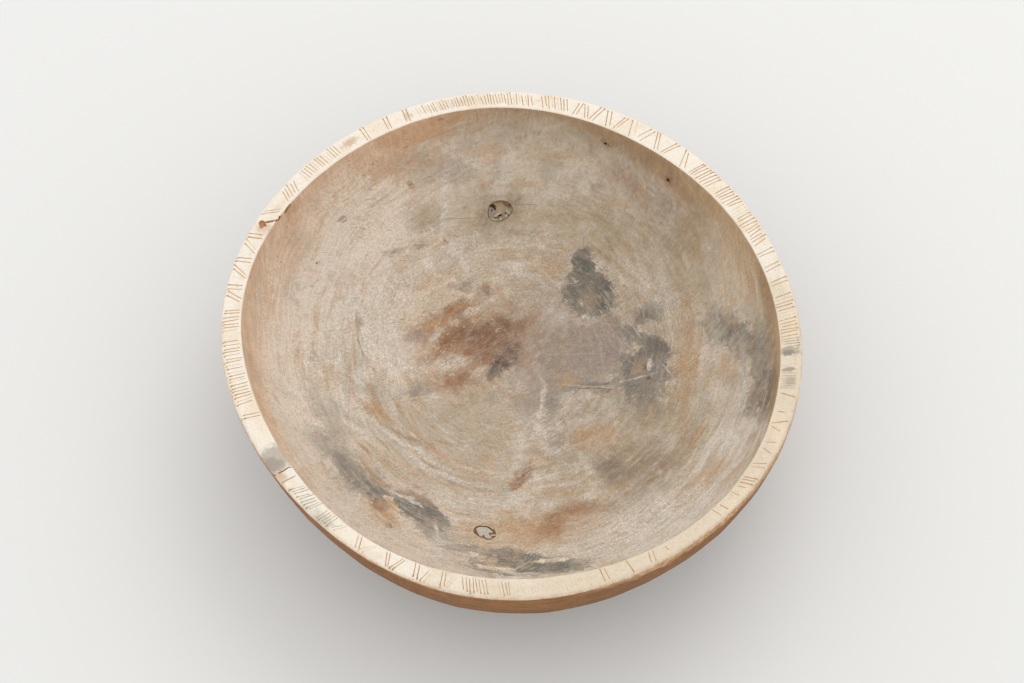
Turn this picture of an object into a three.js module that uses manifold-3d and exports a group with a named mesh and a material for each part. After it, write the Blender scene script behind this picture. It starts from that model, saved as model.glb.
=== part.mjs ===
// A wide root bowl, carved by hand from one block of pale wood, with its grown-in knot and
// the two plugs of filler that close flaws in the wood.
// Millimetres, +Z up. The base stands on z = 0, and the middle of the outline is over the origin.
import * as THREE from 'three';
import { mergeVertices } from 'three/addons/utils/BufferGeometryUtils.js';
import Module from 'manifold-3d';

// Driving dimensions
const bowlHeight = 140;
const rimRadius = 209; // outside of the rim, mean of its slightly oval outline
const rimWidth = 15.2; // across the rim's carved top face
const rimFall = 1.4; // how much lower the inner edge of that face lies
const baseRadius = 76; // the flat that the bowl stands on
const floorThickness = 20;
const outerFullness = 2.2; // superellipse exponent of the outside, 2 is an ellipse
const innerFullness = 2.5; // the hollow has a flatter floor and steeper walls
const outerEdgeRound = 3.5; // worn outer edge of the rim
const innerEdgeRound = 1.2; // crisper inner edge
const baseShift = new THREE.Vector2(8, 1); // the base is a little off the middle
const hollowShift = new THREE.Vector2(-0.3, -1.2); // the hollow at the rim, off the outside
const floorShift = new THREE.Vector2(4.5, 0.5); // and the hollow's floor, further off
const fitGap = 0.3; // between a plug and its pocket

// Fineness of the mesh
const roundSteps = 96;
const outerSteps = 13;
const innerSteps = 15;
const edgeSteps = 3;
const plugSides = 26;

// The outline isn't a true circle: waves of size mm, repeated order times, turned by so many degrees
const outerWaves = [
  { order: 2, size: 3.2, turn: -44 },
  { order: 3, size: 0.5, turn: 38 },
  { order: 4, size: 1.6, turn: -8 },
  { order: 5, size: 0.5, turn: -27 },
];
const innerWaves = [
  { order: 2, size: 4.3, turn: -46 },
  { order: 4, size: 1.0, turn: -13 },
  { order: 5, size: 1.0, turn: 26 },
];

// What fills the flaws. Width runs around the bowl, reach runs up the wall or across the rim.
const plugs = {
  encased_knot: { azimuth: 92.8, height: 54, width: 18.8, reach: 15.6, depth: 12, taper: 0.72 },
  knot_hole_filler: { azimuth: -98.4, height: 34, width: 17.6, reach: 12, depth: 9, taper: 0.8 },
  rim_filler: { azimuth: -7.6, inset: 4.6, width: 11.6, reach: 12, depth: 8, taper: 0.85 },
};
const plugWobble = 0.07; // how far a plug's outline strays from an oval
const plugProud = 5; // how far the cutting shape stands out of the surface

const finishes = {
  bowl_body: { color: 0xc3b098, roughness: 0.82 },
  encased_knot: { color: 0x93805f, roughness: 0.78 },
  knot_hole_filler: { color: 0xd6d0c6, roughness: 0.7 },
  rim_filler: { color: 0xece4cc, roughness: 0.72 },
};

const wasm = await Module();
wasm.setup();

const innerRadius = rimRadius - rimWidth;
const hollowDepth = bowlHeight - floorThickness;
// The outside curve would go on below the base, to this depth under the rim
const outerDepth = bowlHeight / (1 - (baseRadius / rimRadius) ** outerFullness) ** (1 / outerFullness);

function waveSum(waves, angle) {
  return waves.reduce((sum, wave) => {
    const turn = THREE.MathUtils.degToRad(wave.turn);
    return sum + wave.size * Math.cos(wave.order * (angle - turn));
  }, 0);
}

function wallRadius(radius, depth, fullness, drop) {
  return radius * Math.max(0, 1 - (drop / depth) ** fullness) ** (1 / fullness);
}

// Points of one wall curve from drop to drop, evenly spaced in the superellipse's own angle
function wallCurve(radius, depth, fullness, fromDrop, toDrop, steps) {
  const angleAt = (drop) => Math.asin((drop / depth) ** (fullness / 2));
  const from = angleAt(fromDrop);
  const to = angleAt(toDrop);
  const points = [];
  for (let step = 0; step <= steps; step += 1) {
    const drop = depth * Math.sin(THREE.MathUtils.lerp(from, to, step / steps)) ** (2 / fullness);
    points.push([wallRadius(radius, depth, fullness, drop), bowlHeight - drop]);
  }
  return points;
}

// The section from the middle of the base, up the outside, over the rim and down to the floor.
// Each point also says how far it belongs to the outside (1) or to the hollow (0).
function bowlSection() {
  const section = [[0, 0, 1], [baseRadius / 2, 0, 1]];
  for (const [radius, z] of wallCurve(rimRadius, outerDepth, outerFullness, bowlHeight, outerEdgeRound, outerSteps)) {
    section.push([radius, Math.max(0, z), 1]);
  }
  for (let step = 1; step <= edgeSteps; step += 1) {
    const angle = step / edgeSteps * Math.PI / 2;
    section.push([
      rimRadius - outerEdgeRound * (1 - Math.cos(angle)),
      bowlHeight - outerEdgeRound * (1 - Math.sin(angle)),
      1 - outerEdgeRound * (1 - Math.cos(angle)) / rimWidth,
    ]);
  }
  const innerTop = bowlHeight - rimFall;
  section.push([innerRadius + innerEdgeRound, innerTop, innerEdgeRound / rimWidth]);
  const innerStart = rimFall + innerEdgeRound;
  for (const [radius, z] of wallCurve(innerRadius, hollowDepth, innerFullness, innerStart, hollowDepth, innerSteps)) {
    section.push([radius, z, 0]);
  }
  section[section.length - 1][0] = 0;
  return section;
}

// Where a section point goes at an angle around the bowl, with the waves and the shifts
function shapePoint(radius, z, outerShare, angle) {
  const outerScale = 1 + waveSum(outerWaves, angle) / rimRadius;
  const innerScale = 1 + waveSum(innerWaves, angle) / innerRadius;
  const scale = THREE.MathUtils.lerp(innerScale, outerScale, outerShare);
  const drop = bowlHeight - z;
  const outerOffset = baseShift.clone().multiplyScalar(drop / bowlHeight);
  const innerOffset = hollowShift.clone().addScaledVector(floorShift, drop / hollowDepth);
  const offset = innerOffset.lerp(outerOffset, outerShare);
  return new THREE.Vector3(
    radius * scale * Math.cos(angle) + offset.x,
    radius * scale * Math.sin(angle) + offset.y,
    z,
  );
}

function makeBowlBlank() {
  const section = bowlSection();
  const profile = section.map(([radius, z]) => new THREE.Vector2(radius, z));
  const geometry = new THREE.LatheGeometry(profile, roundSteps);
  const place = geometry.attributes.position;
  // The lathe writes its vertices strip by strip, the whole section at each angle
  for (let index = 0; index < place.count; index += 1) {
    const strip = Math.floor(index / section.length) % roundSteps;
    const [radius, z, outerShare] = section[index % section.length];
    const point = shapePoint(radius, z, outerShare, strip / roundSteps * Math.PI * 2);
    place.setXYZ(index, point.x, point.y, point.z);
  }
  return geometry;
}

// A point of the hollow's wall, and the direction out of the wood there
function hollowSurface(azimuth, height) {
  const at = (angle, z) => {
    const radius = wallRadius(innerRadius, hollowDepth, innerFullness, bowlHeight - z);
    return shapePoint(radius, z, 0, angle);
  };
  const angle = THREE.MathUtils.degToRad(azimuth);
  const point = at(angle, height);
  const around = at(angle + 0.01, height).sub(at(angle - 0.01, height)).normalize();
  const up = at(angle, height + 0.5).sub(at(angle, height - 0.5)).normalize();
  return { point, around, outward: up.cross(around).negate().normalize() };
}

// A point of the rim's top face, inset from its inner edge
function rimSurface(azimuth, inset) {
  const angle = THREE.MathUtils.degToRad(azimuth);
  const share = inset / rimWidth;
  const point = shapePoint(innerRadius + inset, bowlHeight - rimFall * (1 - share), share, angle);
  const around = new THREE.Vector3(-Math.sin(angle), Math.cos(angle), 0);
  return { point, around, outward: new THREE.Vector3(0, 0, 1) };
}

// A tapered uneven oval, set into the wood and standing proud of it, larger all round by grow
function plugShape(plug, grow) {
  const surface = plug.height === undefined
    ? rimSurface(plug.azimuth, plug.inset)
    : hollowSurface(plug.azimuth, plug.height);
  const length = plug.depth + grow + plugProud;
  const geometry = new THREE.CylinderGeometry(1, plug.taper, length, plugSides);
  const place = geometry.attributes.position;
  for (let index = 0; index < place.count; index += 1) {
    const angle = Math.atan2(place.getZ(index), place.getX(index));
    const wobble = 1 + plugWobble * (Math.cos(3 * angle + plug.azimuth) + 0.6 * Math.sin(5 * angle));
    place.setX(index, place.getX(index) * (plug.width / 2 * wobble + grow));
    place.setZ(index, place.getZ(index) * (plug.reach / 2 * wobble + grow));
    place.setY(index, place.getY(index) + plugProud - length / 2);
  }
  const across = surface.around.clone().cross(surface.outward);
  const turn = new THREE.Matrix4().makeBasis(surface.around, surface.outward, across);
  geometry.applyMatrix4(turn.setPosition(surface.point));
  return geometry;
}

// Only positions are kept, so that shared vertices merge into one closed body
function toSolid(geometry) {
  geometry.deleteAttribute('normal');
  geometry.deleteAttribute('uv');
  const merged = mergeVertices(geometry, 1e-4);
  const corners = merged.index.array;
  const kept = [];
  for (let index = 0; index < corners.length; index += 3) {
    const [a, b, c] = corners.slice(index, index + 3);
    if (a !== b && b !== c && c !== a) {
      kept.push(a, b, c);
    }
  }
  return new wasm.Manifold(new wasm.Mesh({
    numProp: 3,
    vertProperties: new Float32Array(merged.attributes.position.array),
    triVerts: new Uint32Array(kept),
  }));
}

function toMesh(name, solid) {
  const { vertProperties, triVerts } = solid.getMesh();
  const geometry = new THREE.BufferGeometry();
  geometry.setAttribute('position', new THREE.BufferAttribute(vertProperties, 3));
  geometry.setIndex(new THREE.BufferAttribute(triVerts, 1));
  geometry.computeVertexNormals();
  const { color, roughness } = finishes[name];
  const mesh = new THREE.Mesh(geometry, new THREE.MeshStandardMaterial({ color, roughness, metalness: 0 }));
  mesh.name = name;
  return mesh;
}

const rootBowl = new THREE.Group();
const blank = toSolid(makeBowlBlank());
let carved = blank;
for (const [name, plug] of Object.entries(plugs)) {
  carved = carved.subtract(toSolid(plugShape(plug, fitGap)));
  rootBowl.add(toMesh(name, blank.intersect(toSolid(plugShape(plug, 0)))));
}
rootBowl.add(toMesh('bowl_body', carved));

// The origin goes under the middle of the whole outline
const middle = new THREE.Box3().setFromObject(rootBowl, true).getCenter(new THREE.Vector3());
rootBowl.position.set(-middle.x, -middle.y, 0);

export default rootBowl;
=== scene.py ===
import math
import random
import bpy
import numpy as np
from mathutils import Matrix, Vector, noise
from mathutils.bvhtree import BVHTree


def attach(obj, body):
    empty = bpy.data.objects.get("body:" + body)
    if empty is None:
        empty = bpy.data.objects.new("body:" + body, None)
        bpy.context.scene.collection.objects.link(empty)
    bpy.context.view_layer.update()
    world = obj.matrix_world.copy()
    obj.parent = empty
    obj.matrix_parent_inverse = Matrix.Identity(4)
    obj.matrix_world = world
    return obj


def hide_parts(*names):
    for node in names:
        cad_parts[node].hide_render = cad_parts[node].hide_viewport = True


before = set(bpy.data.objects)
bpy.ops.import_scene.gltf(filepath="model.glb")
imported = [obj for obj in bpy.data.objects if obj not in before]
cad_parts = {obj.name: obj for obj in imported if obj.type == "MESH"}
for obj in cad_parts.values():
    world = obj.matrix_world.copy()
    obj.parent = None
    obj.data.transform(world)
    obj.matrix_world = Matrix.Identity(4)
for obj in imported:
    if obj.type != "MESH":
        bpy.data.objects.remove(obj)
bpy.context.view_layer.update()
mm = 0.001
dice = random.Random(11)

# the camera comes first, because the details are placed where the photograph shows them
camera = {
    "target": (0.0009, -0.0099, 0.140),
    "distance": 1.742,
    "elevation": 61,
    "lens": 85,
    "sensor": 36,
    "picture": (1024, 683),
    "bowlMiddle": (511, 344.5),  # where the bowl's middle is in the picture
}


def addCamera():
    tilt = math.radians(camera["elevation"])
    away = Vector((0, -math.cos(tilt), math.sin(tilt))) * camera["distance"]
    bpy.ops.object.camera_add(location=Vector(camera["target"]) + away, rotation=(math.pi / 2 - tilt, 0, 0))
    eye = bpy.context.object
    eye.data.lens = camera["lens"]
    eye.data.clip_end = 50
    bpy.context.scene.camera = eye
    bpy.context.view_layer.update()
    return eye


eye = addCamera()
sharpness = camera["lens"] / camera["sensor"] * camera["picture"][0]  # focal length in pixels


def sightLine(across, down):
    width, height = camera["picture"]
    ray = Vector((across - width / 2, height / 2 - down, -sharpness)).normalized()
    return eye.location.copy(), eye.matrix_world.to_3x3() @ ray


def inPicture(place):
    width, height = camera["picture"]
    seen = eye.matrix_world.inverted() @ Vector(place)
    return width / 2 - sharpness * seen.x / seen.z, height / 2 + sharpness * seen.y / seen.z


# helpers for work by hand
def pick(piece):
    bpy.ops.object.select_all(action="DESELECT")
    piece.select_set(True)
    bpy.context.view_layer.objects.active = piece


def getSpots(piece):
    flat = np.empty(len(piece.data.vertices) * 3)
    piece.data.vertices.foreach_get("co", flat)
    return flat.reshape(-1, 3)


def setSpots(piece, spots):
    piece.data.vertices.foreach_set("co", np.asarray(spots, dtype=float).ravel())
    piece.data.update()


def copyPiece(piece, name):
    twin = piece.copy()
    twin.data = piece.data.copy()
    twin.name = name
    bpy.context.collection.objects.link(twin)
    return twin


def joinPieces(pieces, name):
    bpy.ops.object.select_all(action="DESELECT")
    for piece in pieces:
        piece.select_set(True)
    bpy.context.view_layer.objects.active = pieces[0]
    if len(pieces) > 1:
        bpy.ops.object.join()
    pieces[0].name = name
    return pieces[0]


def paint(piece, finish):
    piece.data.materials.clear()
    piece.data.materials.append(finish.material)
    return piece


def applyBoolean(piece, tool, operation="DIFFERENCE"):
    step = piece.modifiers.new("carve", "BOOLEAN")
    step.operation = operation
    step.solver = "MANIFOLD"
    step.material_mode = "TRANSFER"
    step.object = tool
    pick(piece)
    bpy.ops.object.modifier_apply(modifier="carve")
    bpy.data.objects.remove(tool)


def addVertexChain(name, chain):
    bpy.ops.mesh.primitive_plane_add(size=0.01, location=(0, 0, 0))
    piece = bpy.context.object
    piece.name = name
    bpy.ops.object.mode_set(mode="EDIT")
    bpy.ops.mesh.select_all(action="SELECT")
    bpy.ops.mesh.merge(type="CENTER")
    bpy.ops.transform.translate(value=chain[0])
    for last, spot in zip(chain, chain[1:]):
        bpy.ops.mesh.extrude_vertices_move(TRANSFORM_OT_translate={"value": spot - last})
    return piece


# shader maths
class Wire:
    # a socket that can stand in an expression
    def __init__(self, finish, socket):
        self.finish = finish
        self.socket = socket

    def __add__(self, other):
        return self.finish.maths("ADD", self, other)

    __radd__ = __add__

    def __sub__(self, other):
        return self.finish.maths("SUBTRACT", self, other)

    def __rsub__(self, other):
        return self.finish.maths("SUBTRACT", other, self)

    def __mul__(self, other):
        return self.finish.maths("MULTIPLY", self, other)

    __rmul__ = __mul__


def colour(code):
    def linear(part):
        return part / 12.92 if part <= 0.04045 else ((part + 0.055) / 1.055) ** 2.4
    return tuple(linear(int(code[k:k + 2], 16) / 255) for k in (1, 3, 5)) + (1,)


class Finish:
    def __init__(self, name, roughness=0.8, specular=0.3):
        self.material = bpy.data.materials.new(name)
        self.material.use_nodes = True
        self.nodes = self.material.node_tree.nodes
        self.links = self.material.node_tree.links
        self.shader = self.nodes["Principled BSDF"]
        self.shader.inputs["Roughness"].default_value = roughness
        self.shader.inputs["Specular IOR Level"].default_value = specular
        # object coordinates in millimetres
        self.place = self.vector("SCALE", self.node("ShaderNodeTexCoord", out="Object"), scale=1000)

    def node(self, kind, settings=None, values=None, out=0):
        node = self.nodes.new(kind)
        for name, setting in (settings or {}).items():
            setattr(node, name, setting)
        for key, value in (values or {}).items():
            if isinstance(value, Wire):
                self.links.new(value.socket, node.inputs[key])
            else:
                node.inputs[key].default_value = value
        return Wire(self, node.outputs[out])

    def maths(self, operation, *values):
        return self.node("ShaderNodeMath", {"operation": operation}, dict(enumerate(values)))

    def vector(self, operation, *values, scale=None, out=0):
        sockets = dict(enumerate(values))
        if scale is not None:
            sockets["Scale"] = scale
        return self.node("ShaderNodeVectorMath", {"operation": operation}, sockets, out)

    def length(self, value):
        return self.vector("LENGTH", value, out="Value")

    def part(self, value, axis):
        return self.node("ShaderNodeSeparateXYZ", {}, {0: value}, axis)

    def noise(self, place, size, detail=2, roughness=0.5, out="Fac"):
        values = {"Vector": place, "Scale": 1 / size, "Detail": detail, "Roughness": roughness}
        return self.node("ShaderNodeTexNoise", {}, values, out)

    def ramp(self, value, low, high, start=0.0, end=1.0):
        values = {0: value, 1: low, 2: high, 3: start, 4: end}
        return self.node("ShaderNodeMapRange", {"interpolation_type": "SMOOTHSTEP"}, values)

    def mix(self, factor, first, second, blend="MIX"):
        settings = {"data_type": "RGBA", "blend_type": blend}
        return self.node("ShaderNodeMix", settings, {0: factor, 6: first, 7: second}, 2)

    def map(self, place, centre=(0, 0, 0), turn=(0, 0, 0), size=(1, 1, 1)):
        values = {"Vector": place, "Location": centre, "Rotation": turn, "Scale": size}
        return self.node("ShaderNodeMapping", {"vector_type": "TEXTURE"}, values)

    def ballFade(self, place):
        # 1 in the middle of a ball, falling to 0 at its surface
        return self.node("ShaderNodeTexGradient", {"gradient_type": "SPHERICAL"}, {0: place}, "Fac")

    def wander(self, place, size, amount, detail=1):
        # the place, pushed about by soft noise
        push = self.vector("SUBTRACT", self.noise(place, size, detail, out="Color"), (0.5, 0.5, 0.5))
        return self.vector("MULTIPLY_ADD", push, (amount, amount, amount), place)

    def feed(self, name, value):
        self.links.new(value.socket, self.shader.inputs[name])

    def bump(self, height, distance, strength=1.0):
        values = {"Height": height, "Distance": distance, "Strength": strength}
        self.feed("Normal", self.node("ShaderNodeBump", {}, values))


# the bowl: its sizes are the solid's, the outside a hair smaller to stay within it
bowl = {
    "height": 0.140,
    "rimRadius": 0.2088,
    "rimWidth": 0.0150,
    "rimFall": 0.0014,
    "baseRadius": 0.076,
    "floorThickness": 0.020,
    "outerFullness": 2.2,
    "innerFullness": 2.5,
    "outerEdgeRound": 0.0035,
    "innerEdgeRound": 0.0012,
    "baseShift": (0.008, 0.001),
    "hollowShift": (-0.0003, -0.0012),
    "floorShift": (0.0045, 0.0005),
    "middle": (0.0005, 0.0008),
    "roundSteps": 288,
    "outerSteps": 46,
    "innerSteps": 60,
    "edgeSteps": 6,
    "baseRings": (0, 0.02, 0.045, 0.064),
    "floorPatch": 0.046,       # radius of the gridded middle of the floor
    "outerWaves": ((2, 3.2, -44), (3, 0.5, 38), (4, 1.6, -8), (5, 0.5, -27)),  # order, mm, turn
    "innerWaves": ((2, 4.3, -46), (4, 1.0, -13), (5, 1.0, 26)),
    "swell": 0.0007,           # slow unevenness of the hollow
    "swellSize": 0.07,
    "hollowGouge": 0.00016,    # depth of the flat gouge marks in the hollow
    "gougeSize": 0.028,
    "outsideGouge": 0.0006,    # and of the adze marks outside
    "adzeSize": (0.026, 0.026, 0.042),
    "edgeWear": 0.0005,
    "edgeBand": 0.012,         # how far below the rim the gouge marks fade out
}
innerRadius = bowl["rimRadius"] - bowl["rimWidth"]
hollowDepth = bowl["height"] - bowl["floorThickness"]
baseShare = bowl["baseRadius"] / bowl["rimRadius"]
outerDepth = bowl["height"] / (1 - baseShare ** bowl["outerFullness"]) ** (1 / bowl["outerFullness"])


def wallRadius(radius, depth, fullness, drop):
    return radius * np.clip(1 - (np.maximum(drop, 0) / depth) ** fullness, 0, None) ** (1 / fullness)


def wallCurve(radius, depth, fullness, fromDrop, toDrop, steps):
    start, end = (math.asin((drop / depth) ** (fullness / 2)) for drop in (fromDrop, toDrop))
    drops = depth * np.sin(np.linspace(start, end, steps + 1)) ** (2 / fullness)
    return [(float(wallRadius(radius, depth, fullness, drop)), bowl["height"] - drop) for drop in drops]


def floorDrop(radius):
    fullness = bowl["innerFullness"]
    share = np.minimum(radius, 0.99 * innerRadius) / innerRadius
    return hollowDepth * (1 - share ** fullness) ** (1 / fullness)


def bowlSection():
    height, radius = bowl["height"], bowl["rimRadius"]
    edge, crisp = bowl["outerEdgeRound"], bowl["innerEdgeRound"]
    section = [(ring, 0) for ring in bowl["baseRings"]]
    section += wallCurve(radius, outerDepth, bowl["outerFullness"], height, edge, bowl["outerSteps"])
    for step in range(1, bowl["edgeSteps"] + 1):
        turn = step / bowl["edgeSteps"] * math.pi / 2
        section.append((radius - edge * (1 - math.cos(turn)), height - edge * (1 - math.sin(turn))))
    start = section[-1]
    end = (innerRadius + crisp, height - bowl["rimFall"])
    for share in (0.2, 0.4, 0.6, 0.8, 1):
        section.append((start[0] + (end[0] - start[0]) * share, start[1] + (end[1] - start[1]) * share))
    for turn in (math.pi / 6, math.pi / 3):
        section.append((innerRadius + crisp * (1 - math.sin(turn)), end[1] - crisp * (1 - math.cos(turn))))
    lowest = float(floorDrop(bowl["floorPatch"]))
    highest = bowl["rimFall"] + crisp
    section += wallCurve(innerRadius, hollowDepth, bowl["innerFullness"], highest, lowest, bowl["innerSteps"])
    return [Vector((across, 0, max(0, z))) for across, z in section]


def waveSum(waves, angle):
    return sum(size * mm * np.cos(order * (angle - math.radians(turn))) for order, size, turn in waves)


def outerShare(radius, z):
    # 1 on the outside, 0 in the hollow, blended across the rim's top face
    drop = bowl["height"] - z
    across = np.clip((radius - innerRadius) / bowl["rimWidth"], 0, 1)
    inner = wallRadius(innerRadius, hollowDepth, bowl["innerFullness"], np.minimum(drop, hollowDepth))
    outer = wallRadius(bowl["rimRadius"], outerDepth, bowl["outerFullness"], drop)
    hollow = (z > bowl["floorThickness"] - 0.001) & (radius < (inner + outer) / 2)
    return np.where(drop < 0.0038, across, np.where(hollow, 0.0, 1.0))


def shapeSpots(radius, angle, z, share):
    outerScale = 1 + waveSum(bowl["outerWaves"], angle) / bowl["rimRadius"]
    innerScale = 1 + waveSum(bowl["innerWaves"], angle) / innerRadius
    scale = innerScale + (outerScale - innerScale) * share
    drop = bowl["height"] - z
    spots = []
    for axis, ray in ((0, np.cos(angle)), (1, np.sin(angle))):
        inner = bowl["hollowShift"][axis] + bowl["floorShift"][axis] * drop / hollowDepth
        outer = bowl["baseShift"][axis] * drop / bowl["height"]
        spots.append(radius * scale * ray + inner + (outer - inner) * share + bowl["middle"][axis])
    return np.stack(spots + [z + 0 * radius], axis=-1)


def carveRelief(spots, normals, share):
    # gouge and adze marks, slow swell, and worn edges, all of them into the wood
    for index, (spot, out, side) in enumerate(zip(spots, normals, share)):
        at = Vector(spot)
        if at.z < 0.0005:
            continue
        near = 1 - min(1, max(0, (bowl["height"] - at.z - 0.003) / bowl["edgeBand"]))
        depth = 0
        if side == 0:
            cell = noise.voronoi(at / bowl["gougeSize"])[0][0]
            depth = bowl["hollowGouge"] * (1 - cell * cell * 1.6) * (1 - near)
            depth += bowl["swell"] * (noise.noise(at / bowl["swellSize"]) + 0.2) * (1 - near)
        elif side == 1:
            cell = noise.voronoi(Vector([part / size for part, size in zip(at, bowl["adzeSize"])]))[0][0]
            depth = bowl["outsideGouge"] * max(0, 1 - cell * cell * 1.5)
            depth *= min(1, at.z / 0.01) * (1 - 0.6 * near)
        if near > 0:
            wear = noise.noise(at / 0.017) + 0.5 * noise.noise(at / 0.006)
            depth += near * bowl["edgeWear"] * (0.55 + 0.5 * wear)
        spots[index] -= out * depth
    return spots


def makeBlank():
    blank = addVertexChain("bowl", bowlSection())
    bpy.ops.mesh.select_all(action="SELECT")
    bpy.ops.mesh.spin(steps=bowl["roundSteps"], angle=math.tau, center=(0, 0, 0), axis=(0, 0, 1))
    bpy.ops.mesh.select_all(action="SELECT")
    bpy.ops.mesh.remove_doubles(threshold=0.00001)
    bpy.ops.mesh.select_all(action="DESELECT")
    bpy.ops.mesh.select_non_manifold()
    bpy.ops.mesh.fill_grid(span=bowl["roundSteps"] // 4)
    bpy.ops.mesh.select_all(action="SELECT")
    bpy.ops.mesh.normals_make_consistent(inside=False)
    bpy.ops.object.mode_set(mode="OBJECT")
    return blank


def shapeBowl(blank):
    spots = getSpots(blank)
    radius, angle, z = np.hypot(spots[:, 0], spots[:, 1]), np.arctan2(spots[:, 1], spots[:, 0]), spots[:, 2]
    patch = (z > bowl["floorThickness"] - 0.001) & (radius < bowl["floorPatch"] * 1.001)
    z = np.where(patch, bowl["height"] - floorDrop(radius), z)
    share = outerShare(radius, z)
    setSpots(blank, shapeSpots(radius, angle, z, share))
    normals = np.empty(len(spots) * 3)
    blank.data.vertices.foreach_get("normal", normals)
    setSpots(blank, carveRelief(getSpots(blank), normals.reshape(-1, 3), share))
    return share


body = makeBlank()
shares = shapeBowl(body)
print("bowl turned and carved:", len(body.data.polygons), "faces")
skin = BVHTree.FromObject(body, bpy.context.evaluated_depsgraph_get())


# places on the bowl, as the picture shows them
def framed(spot, normal):
    right = Vector((1, 0, 0))
    right = (right - normal * right.dot(normal)).normalized()
    return {"spot": spot, "out": normal, "right": right, "up": normal.cross(right)}


def seenAt(across, down):
    spot, normal, _, _ = skin.ray_cast(*sightLine(across, down))
    return framed(spot, normal)


def seenPath(*points):
    return [(at["spot"], at["out"]) for at in (seenAt(*point) for point in points)]


def rimPoint(angle, across):
    radius = innerRadius + bowl["rimWidth"] * across
    return shapeSpots(*(np.array([value]) for value in (radius, angle, bowl["height"], across)))[0]


def clockOf(angle):
    across, down = inPicture(rimPoint(angle, 0.5))
    middle = camera["bowlMiddle"]
    return math.degrees(math.atan2(across - middle[0], middle[1] - down)) % 360


rimAngles = np.radians(np.arange(0, 360, 0.5))
rimClocks = np.array([clockOf(angle) for angle in rimAngles])
clockLead = (rimClocks - (90 - np.degrees(rimAngles)) + 180) % 360 - 180
clockOrder = np.argsort(rimClocks)


def rimSpot(clock, across):
    # a place on the rim's face: the clock counts degrees clockwise from the top of the picture
    lead = np.interp(clock % 360, rimClocks[clockOrder], clockLead[clockOrder], period=360)
    x, y, _ = rimPoint(math.radians(90 - clock + lead), across)
    spot, normal, _, _ = skin.ray_cast(Vector((x, y, 0.3)), Vector((0, 0, -1)))
    return spot, normal


# tools: a three-sided bar for cut lines and a ball for plugs, pockets, chips and holes
def barBlank(rings):
    bpy.ops.mesh.primitive_circle_add(vertices=3, radius=1, fill_type="NGON", rotation=(0, math.pi / 2, 0))
    bar = bpy.context.object
    bpy.ops.object.transform_apply(location=True, rotation=True, scale=True)
    bpy.ops.object.mode_set(mode="EDIT")
    bpy.ops.mesh.select_all(action="SELECT")
    for _ in range(rings - 1):
        bpy.ops.mesh.extrude_region_move(TRANSFORM_OT_translate={"value": (1, 0, 0)})
    bpy.ops.mesh.select_all(action="SELECT")
    bpy.ops.mesh.normals_make_consistent(inside=False)
    bpy.ops.object.mode_set(mode="OBJECT")
    return bar


def ballBlank():
    bpy.ops.mesh.primitive_uv_sphere_add(segments=96, ring_count=22, radius=1)
    return bpy.context.object


def layBar(blank, path, width, depth, stand=0.00025, taper=0.16):
    # a copy of the bar along a path, with its +Y corner down in the wood
    spots = getSpots(blank)
    rings = int(round(spots[:, 0].max())) + 1
    points, ups = (np.array([[*row[k]] for row in path]) for k in (0, 1))
    lengths = np.concatenate([[0], np.cumsum(np.linalg.norm(np.diff(points, axis=0), axis=1))])
    steps = np.linspace(0, lengths[-1], rings)
    line = np.stack([np.interp(steps, lengths, points[:, axis]) for axis in range(3)], 1)
    lift = np.stack([np.interp(steps, lengths, ups[:, axis]) for axis in range(3)], 1)
    lift /= np.linalg.norm(lift, axis=1, keepdims=True)
    side = np.cross(lift, np.gradient(line, axis=0))
    side /= np.linalg.norm(side, axis=1, keepdims=True)
    along = np.linspace(0, 1, rings)
    fade = np.minimum(1, 0.25 + 0.75 * np.minimum(along, 1 - along) / taper)
    deep = depth * fade
    half = width / 2 * (0.4 + 0.6 * fade) * (deep + stand) / deep
    result = np.empty_like(spots)
    for index, (x, y, z) in enumerate(spots):
        ring = int(round(x))
        if y > 0.5:
            result[index] = line[ring] - lift[ring] * deep[ring]
        else:
            result[index] = line[ring] + lift[ring] * stand + side[ring] * half[ring] * (1 if z > 0 else -1)
    twin = copyPiece(blank, "cut")
    setSpots(twin, result)
    return twin


def outlineReach(outline, turn):
    return float(np.interp(math.degrees(turn) % 360, *zip(*outline), period=360)) * mm


def layBall(blank, name, at, outline, rise, depth, grow=0.0, stand=0.0, rough=0.0, follow=True):
    # a lump with its outline in the surface, rising above it and reaching down into the wood
    spots = getSpots(blank)
    result = np.empty_like(spots)
    for index, (x, y, z) in enumerate(spots):
        turn, flat = math.atan2(y, x), math.hypot(x, y)
        reach = (outlineReach(outline, turn) + grow) * flat ** 0.6 if flat > 0.0001 else 0
        across, along = reach * math.cos(turn), reach * math.sin(turn)
        spot = at["spot"] + at["right"] * across + at["up"] * along
        hit = skin.ray_cast(spot + at["out"] * 0.02, -at["out"])[0] if follow else None
        lift = z * (rise if z > 0 else depth + grow) + stand
        if rough and z > 0:
            lift += rough * z * noise.noise(Vector((across, along, 0)) / 0.0022)
        result[index] = (hit if hit else spot) + at["out"] * lift
    twin = copyPiece(blank, name)
    setSpots(twin, result)
    return twin


bar = barBlank(7)
longBar = barBlank(27)
ball = ballBlank()

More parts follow.
